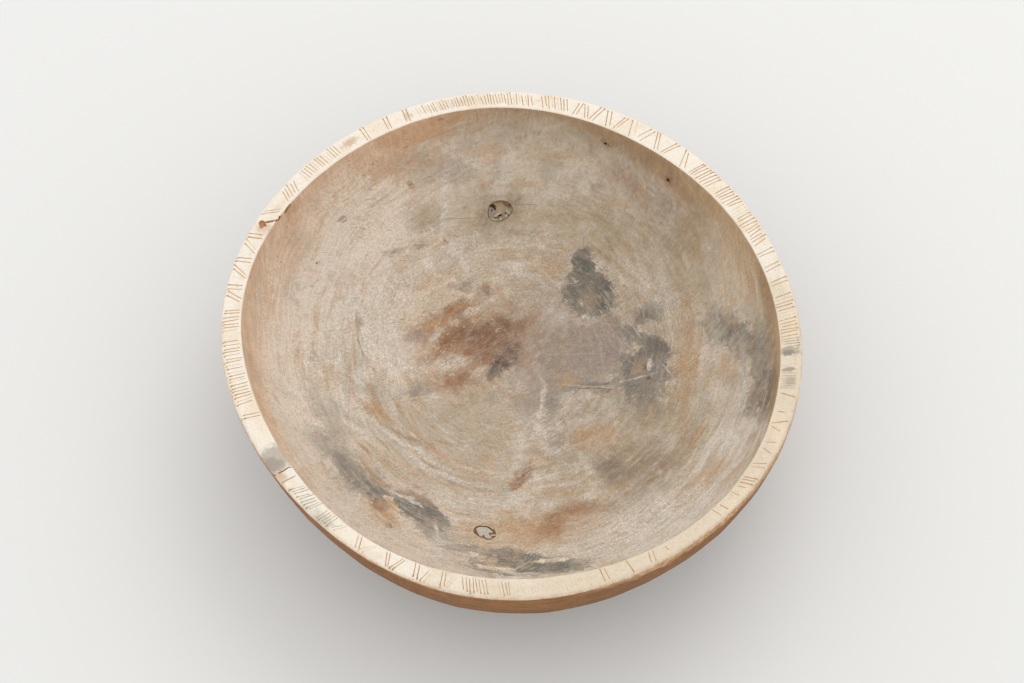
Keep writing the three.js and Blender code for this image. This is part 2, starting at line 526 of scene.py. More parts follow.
# what fills the flaws: middle in the picture, outline as angle and reach in mm from the middle
knot = {
    "middle": (500.1, 211),
    "outline": ((0, 9.3), (16, 9.7), (36, 9.3), (59, 8.4), (86, 7.8), (112, 7.8), (134, 8.4), (152, 9.2),
                (176, 8.9), (194, 9.5), (211, 9.9), (226, 9.7), (247, 8.6), (277, 7.6), (307, 7.4),
                (333, 7.9)),
    "depth": 0.0115,
    "gap": 0.00018,
    "ring": {"grow": 0.0006, "depth": 0.0004},
    "hollows": (
        ((493.2, 206.6), ((25, 1.9), (60, 1.9), (103, 2.1), (140, 2.3), (168, 3.0), (186, 2.4), (230, 0.8),
                          (270, 1.2), (292, 2.9), (308, 3.5), (335, 2.0)), 0.0032),
        ((491.9, 210.0), ((0, 0.4), (60, 0.7), (90, 1.5), (120, 0.6), (180, 0.5), (270, 1.3)), 0.0012),
        ((500.0, 215.4), ((30, 1.8), (75, 0.6), (120, 0.5), (210, 1.9), (255, 0.8), (300, 0.6)), 0.0025),
        ((495.9, 217.8), ((0, 0.7), (90, 0.4), (180, 0.9), (270, 0.5)), 0.0010),
        ((498.4, 217.7), ((0, 0.5), (90, 0.5), (180, 0.5), (270, 0.6)), 0.0008),
        ((505.6, 213.3), ((0, 0.5), (90, 0.9), (180, 0.6), (270, 0.7)), 0.0014),
        ((508.6, 215.2), ((0, 0.5), (90, 0.5), (180, 0.6), (270, 0.4)), 0.0010),
        ((509.6, 205.4), ((40, 0.5), (130, 1.3), (220, 0.4), (310, 1.2)), 0.0010),
    ),
}
greyFiller = {
    "middle": (484.5, 532.4),
    "outline": ((0, 6.0), (10, 6.3), (15, 5.2), (43, 5.1), (68, 5.2), (104, 5.5), (130, 6.6), (152, 7.0),
                (163, 6.1), (182, 5.2), (207, 4.9), (225, 4.8), (243, 4.8), (249, 4.4), (254, 2.5), (264, 2.5),
                (272, 3.7), (285, 6.0), (295, 6.9), (307, 7.4), (316, 7.8), (321, 7.2), (326, 4.0), (337, 3.4),
                (351, 3.1), (356, 3.6)),
    "rise": 0.0005,
    # the brown bed that shows round the paste, and two more crumbs of paste on it
    "pocket": ((0, 8.0), (20, 7.6), (42, 6.3), (68, 6.2), (102, 6.3), (125, 7.5), (142, 8.0), (158, 8.3),
               (171, 8.3), (185, 7.6), (198, 7.0), (212, 6.2), (232, 5.7), (267, 5.8), (280, 7.2), (295, 7.9),
               (315, 8.3), (333, 9.0), (346, 8.7)),
    "bed": 0.0006,
    "crumbs": (
        ((493.4, 535.2), ((0, 2.1), (50, 0.8), (90, 0.5), (130, 0.8), (180, 2.2), (230, 0.8), (270, 0.5),
                          (310, 0.8))),
        ((492.6, 528.6), ((0, 0.7), (90, 0.5), (180, 0.7), (270, 0.5))),
    ),
    "depth": 0.0086,
    "gap": 0.0002,
}
creamFiller = {
    "clock": 92.6,
    "across": 0.3,
    "outline": ((0, 5.7), (40, 6.8), (70, 6.4), (100, 5.9), (135, 7.3), (180, 6.2), (225, 7.4), (270, 5.8),
                (315, 6.8)),
    "depth": 0.0075,
    "gap": 0.0001,
}
wormHoles = ((605.4, 143.6, 1.35), (668.2, 180.2, 1.7), (316.8, 263.2, 0.6), (397.5, 166, 0.45))
chips = (
    ((262.6, 224.4), ((10, 2.2), (60, 2.7), (100, 3.6), (150, 3.2), (200, 2.4), (250, 3.9), (300, 2.0),
                      (340, 3.3)), 0.0012),
    ((287.4, 208.8), ((25, 5.0), (60, 2.4), (110, 2.2), (160, 2.6), (205, 4.4), (280, 1.8),
                      (340, 2.4)), 0.0010),
    ((279.4, 217.8), ((30, 1.9), (90, 1.6), (150, 1.3), (220, 2.6), (300, 1.4)), 0.0010),
    ((276.6, 480.5), ((20, 1.0), (90, 2.0), (170, 1.2), (260, 2.2)), 0.0007),
)
# paths in the picture, width and depth in mm
softLines = (
    (((356.2, 313), (356.6, 325), (358.5, 341), (363, 354), (374, 370), (386.5, 382.5)), 2.0, 0.10),
    (((413, 245.6), (419, 244.9), (426, 245.4)), 0.9, 0.3),
    (((391, 253.4), (395, 252), (399, 250)), 1.2, 0.35),
    (((341.5, 222.6), (344, 221.6), (347, 219.6)), 1.1, 0.3),
    (((574, 415.6), (583, 413), (591, 411.5)), 0.7, 0.35),
    (((474.6, 229), (475.6, 237), (477.2, 243)), 1.1, 0.15),
    (((486, 212.6), (480, 216.4), (474, 218.2), (465, 218.6), (452, 218.2), (440, 219.6)), 0.6, 0.25),
    (((512.6, 207), (518, 205.2), (527, 204.4), (537, 204.8)), 0.7, 0.3),
    (((272, 393), (277, 399), (281, 405)), 0.8, 0.25),
    (((570.5, 386.6), (585, 387.2), (600, 386.2), (611, 385.7), (620, 381.6)), 1.2, 0.3),
    (((440, 140.5), (446, 143), (450, 145)), 0.9, 0.25),
)
darkLines = (
    (((389, 523.4), (390.6, 525.4), (392, 527.8)), 0.9, 0.2),
    (((272.8, 474.6), (275.2, 475.6), (279, 473), (285, 470), (288, 467.6), (291.5, 467.4)), 0.8, 1.1),
    (((264, 222.8), (270.6, 221.4), (276, 220.6), (280.4, 218.2)), 1.7, 0.6),
)

# colours of the wood
palette = {
    "rose": colour("#D2C1AE"),
    "drab": colour("#B2A28C"),
    "paleLeft": colour("#E2D2C0"),
    "paleRight": colour("#D3C4AF"),
    "ash": colour("#B3A797"),
    "warm": colour("#C9B292"),
    "bone": colour("#DAD0C3"),
    "pink": colour("#D3B79C"),
    "tan": colour("#B9936C"),
    "honey": colour("#C29A70"),
    "rust": colour("#8F6242"),
    "umber": colour("#7C5E4A"),
    "plum": colour("#62544F"),
    "slate": colour("#78736A"),
    "coal": colour("#625C54"),
    "lead": colour("#938B80"),
    "olive": colour("#A18F72"),
    "mauve": colour("#9B8C82"),
    "cream": colour("#F1E6D6"),
    "straw": colour("#E9D6B9"),
}

# stains of the hollow: middle and half size in the picture, turn in degrees, colour, strength, soft, ragged
stains = (
    # broad tints
    ((285, 360), (36, 110), 0, "paleLeft", 0.50, 0.5, 0.3),
    ((352, 208), (66, 48), 40, "paleLeft", 0.80, 0.6, 0.5),
    ((490, 214), (62, 36), 0, "olive", 0.34, 0.8, 0.5),
    ((560, 128), (110, 22), -8, "olive", 0.30, 0.6, 0.5),
    ((660, 185), (74, 34), -38, "umber", 0.30, 0.6, 0.7),
    ((600, 230), (60, 30), -20, "olive", 0.45, 0.6, 0.6),
    ((680, 258), (44, 34), -50, "olive", 0.45, 0.6, 0.6),
    ((640, 440), (80, 60), 0, "olive", 0.35, 0.6, 0.6),
    ((560, 350), (90, 60), 0, "mauve", 0.45, 0.6, 0.6),
    ((542, 352), (32, 34), 0, "umber", 0.22, 0.7, 0.8),
    ((568, 520), (50, 26), 8, "tan", 0.40, 0.7, 0.6),
    ((440, 440), (80, 56), 20, "drab", 0.60, 0.6, 0.5),
    ((660, 525), (96, 26), 26, "bone", 0.55, 0.5, 0.4),
    ((745, 415), (16, 52), -12, "bone", 0.55, 0.6, 0.5),
    ((318, 470), (15, 62), 32, "rose", 0.55, 0.5, 0.3),
    ((395, 548), (64, 14), -24, "rose", 0.55, 0.5, 0.3),
    ((385, 300), (40, 60), 0, "bone", 0.30, 0.7, 0.6),
    # left and top
    ((330, 418), (13, 36), 10, "ash", 0.70, 0.7, 0.9),
    ((322, 445), (9, 20), 20, "lead", 0.50, 0.7, 0.9),
    ((356, 362), (9, 16), 0, "lead", 0.30, 0.8, 0.9),
    ((405, 166), (34, 15), 8, "tan", 0.45, 0.7, 1.1),
    ((382, 172), (16, 8), 30, "tan", 0.35, 0.7, 1.1),
    ((410.5, 186.4), (4.2, 3.0), 0, "rust", 0.70, 0.4, 0.7),
    ((345, 221), (5, 2), 25, "umber", 0.50, 0.6, 0.8),
    ((424, 214), (13, 10), 0, "olive", 0.35, 0.8, 1.0),
    ((421, 227), (9, 6), 0, "umber", 0.35, 0.7, 1.1),
    ((361, 323), (26, 4.5), -70, "bone", 0.65, 0.6, 0.5),
    ((387, 366), (26, 5), -50, "bone", 0.65, 0.6, 0.5),
    ((393, 332), (30, 6), -69, "bone", 0.50, 0.7, 0.5),
    ((412, 370), (15, 6), -51, "bone", 0.50, 0.7, 0.5),
    ((337, 350), (30, 5), -84, "bone", 0.40, 0.7, 0.5),
    ((356.8, 322), (9, 2.6), -88, "umber", 0.40, 0.9, 0.4),
    ((443.5, 203), (3.4, 32), 0, "bone", 0.60, 0.6, 0.6),
    ((475.5, 236), (2.2, 9), 5, "bone", 0.55, 0.7, 0.5),
    ((500, 140), (5, 30), 0, "ash", 0.35, 0.8, 0.6),
    ((391, 253), (8, 2.6), 20, "umber", 0.45, 0.7, 0.9),
    ((419, 245), (7, 2), 6, "umber", 0.40, 0.7, 0.9),
    ((375, 268), (12, 2.4), 52, "tan", 0.45, 0.7, 1.0),
    ((447, 241), (3, 2.2), -20, "umber", 0.60, 0.6, 0.6),
    ((317, 263), (3.6, 2.6), 0, "rust", 0.35, 0.7, 0.6),
    ((499, 212), (26, 20), 0, "olive", 0.45, 0.7, 0.6),
    ((300, 250), (34, 5), 55, "pink", 0.45, 0.7, 0.8),
    ((596, 184.5), (9, 6), 20, "umber", 0.45, 0.6, 0.9),
    ((605.4, 143.6), (3.2, 2.8), 0, "umber", 0.60, 0.7, 0.6),
    ((668.2, 180.2), (4.6, 3.8), 0, "umber", 0.60, 0.7, 0.6),
    ((600, 252), (13, 2), -32, "umber", 0.35, 0.7, 1.0),
    ((610, 243), (9, 2), -52, "umber", 0.30, 0.7, 1.0),
    ((735, 250), (20, 56), 30, "warm", 0.45, 0.6, 0.8),
    ((768, 292), (7, 28), 18, "umber", 0.35, 0.7, 0.9),
    ((757, 286), (3, 26), 22, "bone", 0.45, 0.7, 0.7),
    # the brown and rust heart of the floor
    ((468, 344), (62, 46), 14, "tan", 0.50, 0.7, 0.9),
    ((482, 346), (44, 30), 14, "umber", 0.26, 0.7, 1.0),
    ((447, 313), (31, 9), 32, "rust", 0.60, 0.5, 1.1),
    ((455, 307), (11, 7), 30, "rust", 0.80, 0.5, 1.1),
    ((457, 317), (5, 4), 0, "umber", 0.70, 0.6, 1.0),
    ((436, 322), (12, 5), 30, "honey", 0.50, 0.6, 1.0),
    ((460, 284), (8, 5), 0, "plum", 0.35, 0.8, 1.1),
    ((489, 291), (4.5, 8), 10, "umber", 0.50, 0.7, 0.9),
    ((446, 344), (24, 7), 48, "rust", 0.75, 0.5, 1.1),
    ((474, 343), (36, 21), 12, "rust", 0.55, 0.5, 1.1),
    ((480, 331), (24, 9), 10, "umber", 0.60, 0.6, 1.1),
    ((505, 326), (16, 8), 0, "umber", 0.60, 0.5, 1.0),
    ((497, 345), (20, 12), 30, "umber", 0.45, 0.7, 1.2),
    ((457, 379), (14, 9), 24, "rust", 0.55, 0.6, 1.1),
    ((505, 364), (17, 9), 38, "plum", 0.85, 0.5, 1.1),
    ((494, 374), (9, 5), 38, "coal", 0.60, 0.6, 1.0),
    ((512, 350), (8, 12), 0, "plum", 0.55, 0.6, 1.1),
    ((449, 363), (20, 7), 12, "bone", 0.55, 0.5, 0.9),
    ((470, 312), (14, 3.4), 20, "bone", 0.50, 0.5, 0.9),
    ((436, 336), (12, 2.6), 40, "bone", 0.45, 0.6, 0.9),
    ((478, 372), (10, 3), 36, "bone", 0.35, 0.6, 0.9),
    ((456, 309), (12, 4), 38, "honey", 0.55, 0.5, 1.0),
    ((461, 312), (5, 5), 0, "umber", 0.60, 0.6, 0.9),
    ((455, 382), (9, 5), 24, "rust", 0.55, 0.6, 1.0),
    ((411, 337), (7, 6), 0, "plum", 0.40, 0.8, 0.9),
    ((420, 342), (6, 5), 0, "plum", 0.35, 0.8, 0.9),
    ((419, 390), (15, 9), 10, "lead", 0.65, 0.7, 1.0),
    ((490, 395), (10, 5), 30, "lead", 0.45, 0.7, 1.0),
    ((470, 400), (34, 6), 38, "olive", 0.35, 0.7, 1.0),
    ((378, 414), (19, 4.5), -24, "tan", 0.70, 0.7, 0.9),
    ((372, 392), (10, 4), -20, "olive", 0.45, 0.7, 0.9),
    # grey growth on the right
    ((591, 295), (26, 24), 0, "slate", 0.95, 0.14, 0.6),
    ((584, 267), (15, 18), 12, "slate", 0.95, 0.14, 0.6),
    ((604, 297), (10, 19), 0, "coal", 0.50, 0.5, 0.9),
    ((580, 268), (9, 12), 0, "coal", 0.45, 0.6, 0.9),
    ((588, 304), (11, 12), 0, "olive", 0.55, 0.5, 1.0),
    ((585.5, 318), (3, 2), 0, "bone", 0.75, 0.5, 0.8),
    ((581, 305), (2, 3), 20, "bone", 0.40, 0.7, 1.0),
    ((648, 314), (15, 10), 25, "slate", 0.55, 0.5, 1.1),
    ((644, 318), (6, 5), 0, "coal", 0.45, 0.6, 1.1),
    ((633, 336), (30, 8), -34, "slate", 0.70, 0.4, 1.0),
    ((656, 349), (10, 7), -20, "plum", 0.75, 0.5, 1.0),
    ((594, 350), (36, 26), 0, "mauve", 0.85, 0.4, 0.8),
    ((625, 362), (8, 14), 0, "lead", 0.55, 0.6, 1.0),
    ((647, 372), (27, 27), 0, "slate", 0.78, 0.25, 0.8),
    ((650, 381), (20, 16), 0, "lead", 0.40, 0.5, 1.0),
    ((603, 387), (37, 6), 2, "slate", 0.70, 0.4, 0.9),
    ((648, 405), (25, 13), -10, "slate", 0.45, 0.6, 1.1),
    ((640, 366), (5, 5), 0, "honey", 0.35, 0.7, 1.0),
    ((649, 377), (2.4, 1.8), 0, "umber", 0.85, 0.4, 0.5),
    ((650, 364), (2.2, 3.4), 15, "bone", 0.80, 0.5, 0.7),
    ((564, 379), (12, 6), 0, "tan", 0.45, 0.7, 0.9),
    ((549, 386), (8, 28), 0, "lead", 0.40, 0.7, 0.9),
    ((532, 400), (14, 16), 0, "mauve", 0.40, 0.7, 0.9),
    ((552, 404), (8, 10), 0, "slate", 0.30, 0.7, 0.9),
    ((541, 398), (1.8, 26), 0, "bone", 0.45, 0.7, 0.6),
    ((560, 440), (10, 8), 0, "mauve", 0.70, 0.7, 0.9),
    ((594, 438), (26, 12), 0, "tan", 0.45, 0.7, 1.0),
    ((640, 469), (40, 24), 0, "umber", 0.35, 0.6, 0.9),
    ((608, 470), (10, 10), 0, "plum", 0.40, 0.7, 1.0),
    ((690, 350), (13, 46), 0, "tan", 0.36, 0.8, 0.9),
    ((686, 400), (8, 22), -12, "tan", 0.24, 0.8, 0.9),
    # the grey wall on the right
    ((724, 325), (24, 17), -24, "slate", 0.50, 0.35, 0.9),
    ((743, 341), (24, 14), -40, "slate", 0.48, 0.3, 0.8),
    ((762, 350), (16, 26), -30, "slate", 0.42, 0.25, 0.8),
    ((768, 388), (12, 34), -8, "slate", 0.56, 0.25, 0.8),
    ((772, 400), (6, 24), -8, "umber", 0.30, 0.5, 0.8),
    ((735, 352), (5, 14), -14, "ash", 0.45, 0.7, 0.9),
    ((728, 482), (26, 4), 52, "tan", 0.60, 0.7, 0.9),
    ((700, 478), (34, 5), 40, "tan", 0.45, 0.7, 0.9),
    ((712, 500), (34, 5), 40, "bone", 0.50, 0.7, 0.7),
    # the near side
    ((359, 481), (36, 15), -36, "slate", 0.58, 0.45, 0.9),
    ((374, 488), (18, 9), -36, "slate", 0.60, 0.25, 0.7),
    ((342, 468), (14, 7), -52, "slate", 0.50, 0.4, 0.9),
    ((419, 511), (27, 14), -46, "slate", 0.76, 0.14, 0.5),
    ((389, 491), (17, 6), -18, "slate", 0.60, 0.25, 0.7),
    ((429, 507), (24, 4), -47, "slate", 0.60, 0.25, 0.6),
    ((437, 531), (13, 10), -50, "lead", 0.70, 0.25, 0.8),
    ((442, 541), (9, 8), -50, "ash", 0.60, 0.4, 0.8),
    ((436, 529), (9, 2), -66, "bone", 0.60, 0.4, 0.8),
    ((342, 455), (10, 22), 24, "lead", 0.45, 0.6, 1.0),
    ((385, 513), (22, 11), -40, "tan", 0.60, 0.4, 0.9),
    ((378, 503), (10, 6), -20, "rust", 0.45, 0.4, 1.0),
    ((387.5, 525), (3.6, 2.6), -30, "umber", 0.35, 0.6, 0.7),
    ((402, 492.5), (17, 1.8), -20, "bone", 0.80, 0.3, 0.5),
    ((417, 501), (10, 1.8), -42, "bone", 0.80, 0.3, 0.5),
    ((395, 503), (4, 12), 20, "honey", 0.50, 0.4, 0.9),
    ((437, 545), (10, 12), -20, "bone", 0.40, 0.7, 0.9),
    ((460, 535), (18, 6), -10, "olive", 0.40, 0.7, 1.0),
    ((524, 566), (62, 11), 0, "slate", 0.74, 0.14, 0.5),
    ((490, 552), (40, 5), -3, "slate", 0.55, 0.3, 0.9),
    ((566, 565), (28, 8), 8, "slate", 0.45, 0.25, 0.7),
    ((497, 568), (24, 2.8), -6, "straw", 0.85, 0.3, 0.7),
    ((488, 561), (8, 4), 0, "warm", 0.70, 0.6, 0.9),
    ((552, 560), (20, 2.6), 6, "straw", 0.75, 0.4, 0.8),
    ((522, 573), (16, 1.6), -4, "bone", 0.60, 0.4, 0.8),
    ((525, 476), (19, 6), 48, "rust", 0.70, 0.5, 1.0),
    ((519, 484), (9, 4), 40, "rust", 0.45, 0.6, 1.0),
    ((525, 535), (36, 11), 8, "honey", 0.45, 0.6, 1.0),
    ((556, 520), (26, 9), 48, "rust", 0.50, 0.6, 1.1),
    ((592, 508), (26, 6), 0, "rust", 0.35, 0.6, 1.1),
    ((548, 506), (14, 6), 40, "bone", 0.35, 0.7, 1.0),
    ((590, 496), (10, 4), 0, "bone", 0.50, 0.7, 1.0),
    ((484.6, 533), (17, 12), 0, "warm", 0.45, 0.6, 0.8),
    ((513, 203), (9, 9), -30, "umber", 0.34, 0.6, 0.8),
    ((489, 216), (11, 7), 0, "umber", 0.26, 0.7, 0.9),
    # arcs left by the scraper, pale and tan
    ((405, 444), (50, 2.2), -29, "bone", 0.60, 0.7, 0.5),
    ((437, 470), (46, 3.0), -28, "bone", 0.55, 0.7, 0.5),
    ((392, 458), (44, 2.4), -32, "bone", 0.50, 0.7, 0.5),
    ((460, 462), (34, 2.0), -26, "bone", 0.45, 0.7, 0.5),
    ((358, 383), (12, 1.6), -52, "bone", 0.60, 0.7, 0.5),
    ((351, 425), (20, 2.0), -42, "bone", 0.50, 0.7, 0.5),
    ((430, 448), (40, 2.6), -27, "tan", 0.50, 0.7, 0.6),
    ((405, 466), (44, 2.4), -30, "tan", 0.45, 0.7, 0.6),
    ((398, 433), (28, 2.0), -27, "umber", 0.30, 0.7, 0.7),
    ((462, 486), (24, 2.0), -14, "umber", 0.35, 0.7, 0.7),
    ((380, 481), (28, 2.0), -34, "tan", 0.45, 0.7, 0.6),
    ((410, 490), (30, 2.2), -34, "honey", 0.40, 0.7, 0.8),
    ((330, 300), (4, 44), 14, "bone", 0.35, 0.8, 0.6),
    ((312, 330), (3, 34), 6, "bone", 0.30, 0.8, 0.6),
)

# where the fine strokes all lie one way, and where the growth rings show most
middlePlace = ((480, 340), (64, 50), 20, "", 1.0, 0.4, 1.0)
ringPlaces = (
    ((408, 462), (62, 62), -30, "", 0.75, 0.5, 0.6),
    ((712, 470), (34, 70), -38, "", 0.60, 0.5, 0.6),
    ((315, 300), (30, 90), 0, "", 0.30, 0.6, 0.6),
)

# fine pale scratches of the hollow: ends in the picture, width, colour and strength
scratches = (
    ((411, 398.5), (427, 395.5), 1.3, "bone", 0.70),
    ((424, 397), (443, 397.5), 1.5, "bone", 0.75),
    ((388, 329), (406, 355), 1.5, "bone", 0.60),
    ((455, 356), (465, 366), 1.6, "bone", 0.35),
    ((629, 322), (643, 340), 1.1, "bone", 0.60),
    ((622, 326), (634, 338), 1.0, "bone", 0.45),
    ((600, 323), (618, 326), 1.0, "bone", 0.45),
    ((545, 355), (600, 354), 1.0, "bone", 0.35),
    ((560, 344), (592, 345.5), 0.9, "bone", 0.30),
    ((569, 385), (617, 388.5), 1.3, "bone", 0.70),
    ((571, 389.5), (600, 390), 1.0, "bone", 0.50),
    ((623, 381.6), (648, 375), 1.3, "straw", 0.70),
    ((662.5, 364), (671, 374), 1.7, "bone", 0.75),
    ((622, 342), (637, 350), 0.9, "straw", 0.40),
    ((628, 360), (636, 366), 0.9, "straw", 0.40),
    ((620, 430), (640, 438), 1.0, "bone", 0.40),
    ((560, 458), (574, 470), 1.6, "bone", 0.40),
    ((377, 510.5), (382, 517), 1.1, "bone", 0.65),
    ((556, 283), (584, 283.5), 0.9, "bone", 0.20),
    ((446, 216), (470, 219), 1.0, "bone", 0.45),
    ((392, 166.5), (424, 168), 1.0, "bone", 0.50),
    ((455, 178), (462, 172), 1.6, "bone", 0.50),
    ((520, 250), (560, 235), 1.0, "bone", 0.20),
    ((478, 256), (500, 262), 1.1, "bone", 0.30),
    ((660, 262), (682, 247), 1.0, "bone", 0.30),
    ((700, 440), (716, 415), 1.6, "bone", 0.40),
    ((735, 455), (752, 430), 1.8, "bone", 0.40),
    ((600, 535), (640, 520), 1.6, "bone", 0.35),
)


stainReach = 2.5  # where a stain has faded out, in half sizes


def stainFrame(middle, half, turn):
    # the stain's middle, its turn and its half sizes, lying in the surface of the hollow
    at = seenAt(*middle)
    spans = []
    for size, angle in ((half[0], math.radians(turn)), (half[1], math.radians(turn + 90))):
        step = (0.6 * size * math.cos(angle), -0.6 * size * math.sin(angle))
        tips = [(middle[0] + side * step[0], middle[1] + side * step[1]) for side in (-1, 1)]
        hits = [skin.ray_cast(*sightLine(*tip))[0] for tip in tips]
        # past the edge of the bowl, the other end is mirrored
        pairs = zip(hits, hits[::-1])
        ends = [hit if hit else 2 * at["spot"] - (other or at["spot"]) for hit, other in pairs]
        spans.append((ends[1] - ends[0]) / 1.2)
    along = (spans[0] - at["out"] * spans[0].dot(at["out"])).normalized()
    across = at["out"].cross(along)
    turned = Matrix((along, across, at["out"])).transposed().to_euler()
    size = [span.length / mm for span in spans]
    return tuple(at["spot"] / mm), tuple(turned), (*size, max(30, 0.8 * max(size)))


pith = (2, 40, 0)  # the middle of the growth rings, in mm


def ringed(finish, place, spread, width):
    # growth rings about the pith
    flat = finish.vector("MULTIPLY", finish.vector("SUBTRACT", place, pith), (1, 1, 0))
    heading = finish.vector("NORMALIZE", flat)
    lane = finish.node("ShaderNodeCombineXYZ", {}, {2: finish.length(flat) * (1 / width)})
    return finish.vector("MULTIPLY_ADD", heading, (spread, spread, spread), lane)


def woodGrain(finish, place):
    # rings, fibres that stand upright, and pores
    upright = finish.vector("MULTIPLY", place, (1, 1, 0.12))
    return {
        "bands": finish.noise(ringed(finish, place, 2.2, 9), 1, 3, 0.55),
        "streaks": finish.noise(ringed(finish, place, 6, 2.2), 1, 2, 0.6),
        "fibres": finish.noise(upright, 2.4, 3, 0.65),
        "pores": finish.noise(upright, 1.1, 2, 0.7),
    }


def brushed(finish, place, turn, reach, width, detail=2):
    # strokes that lie one way in the plan
    lane = finish.map(place, turn=(0, 0, math.radians(turn)), size=(reach, width, 0.6 * reach))
    return finish.noise(lane, 1, detail, 0.62)


def tinted(finish, tone, shade):
    grey = finish.node("ShaderNodeCombineColor", {}, {0: shade, 1: shade, 2: shade})
    return finish.mix(1.0, tone, grey, "MULTIPLY")


def stainFrom(finish, spot, fray, entry):
    middle, half, turn, _, strength, soft, ragged = entry
    centre, turned, size = stainFrame(middle, half, turn)
    near = finish.ballFade(finish.map(spot, centre, turned, [stainReach * part for part in size]))
    near = finish.maths("MULTIPLY_ADD", fray, -0.72 * ragged, near)
    return finish.ramp(near, 0.6 - 0.36 * soft, 0.6 + 0.36 * soft, 0, strength)


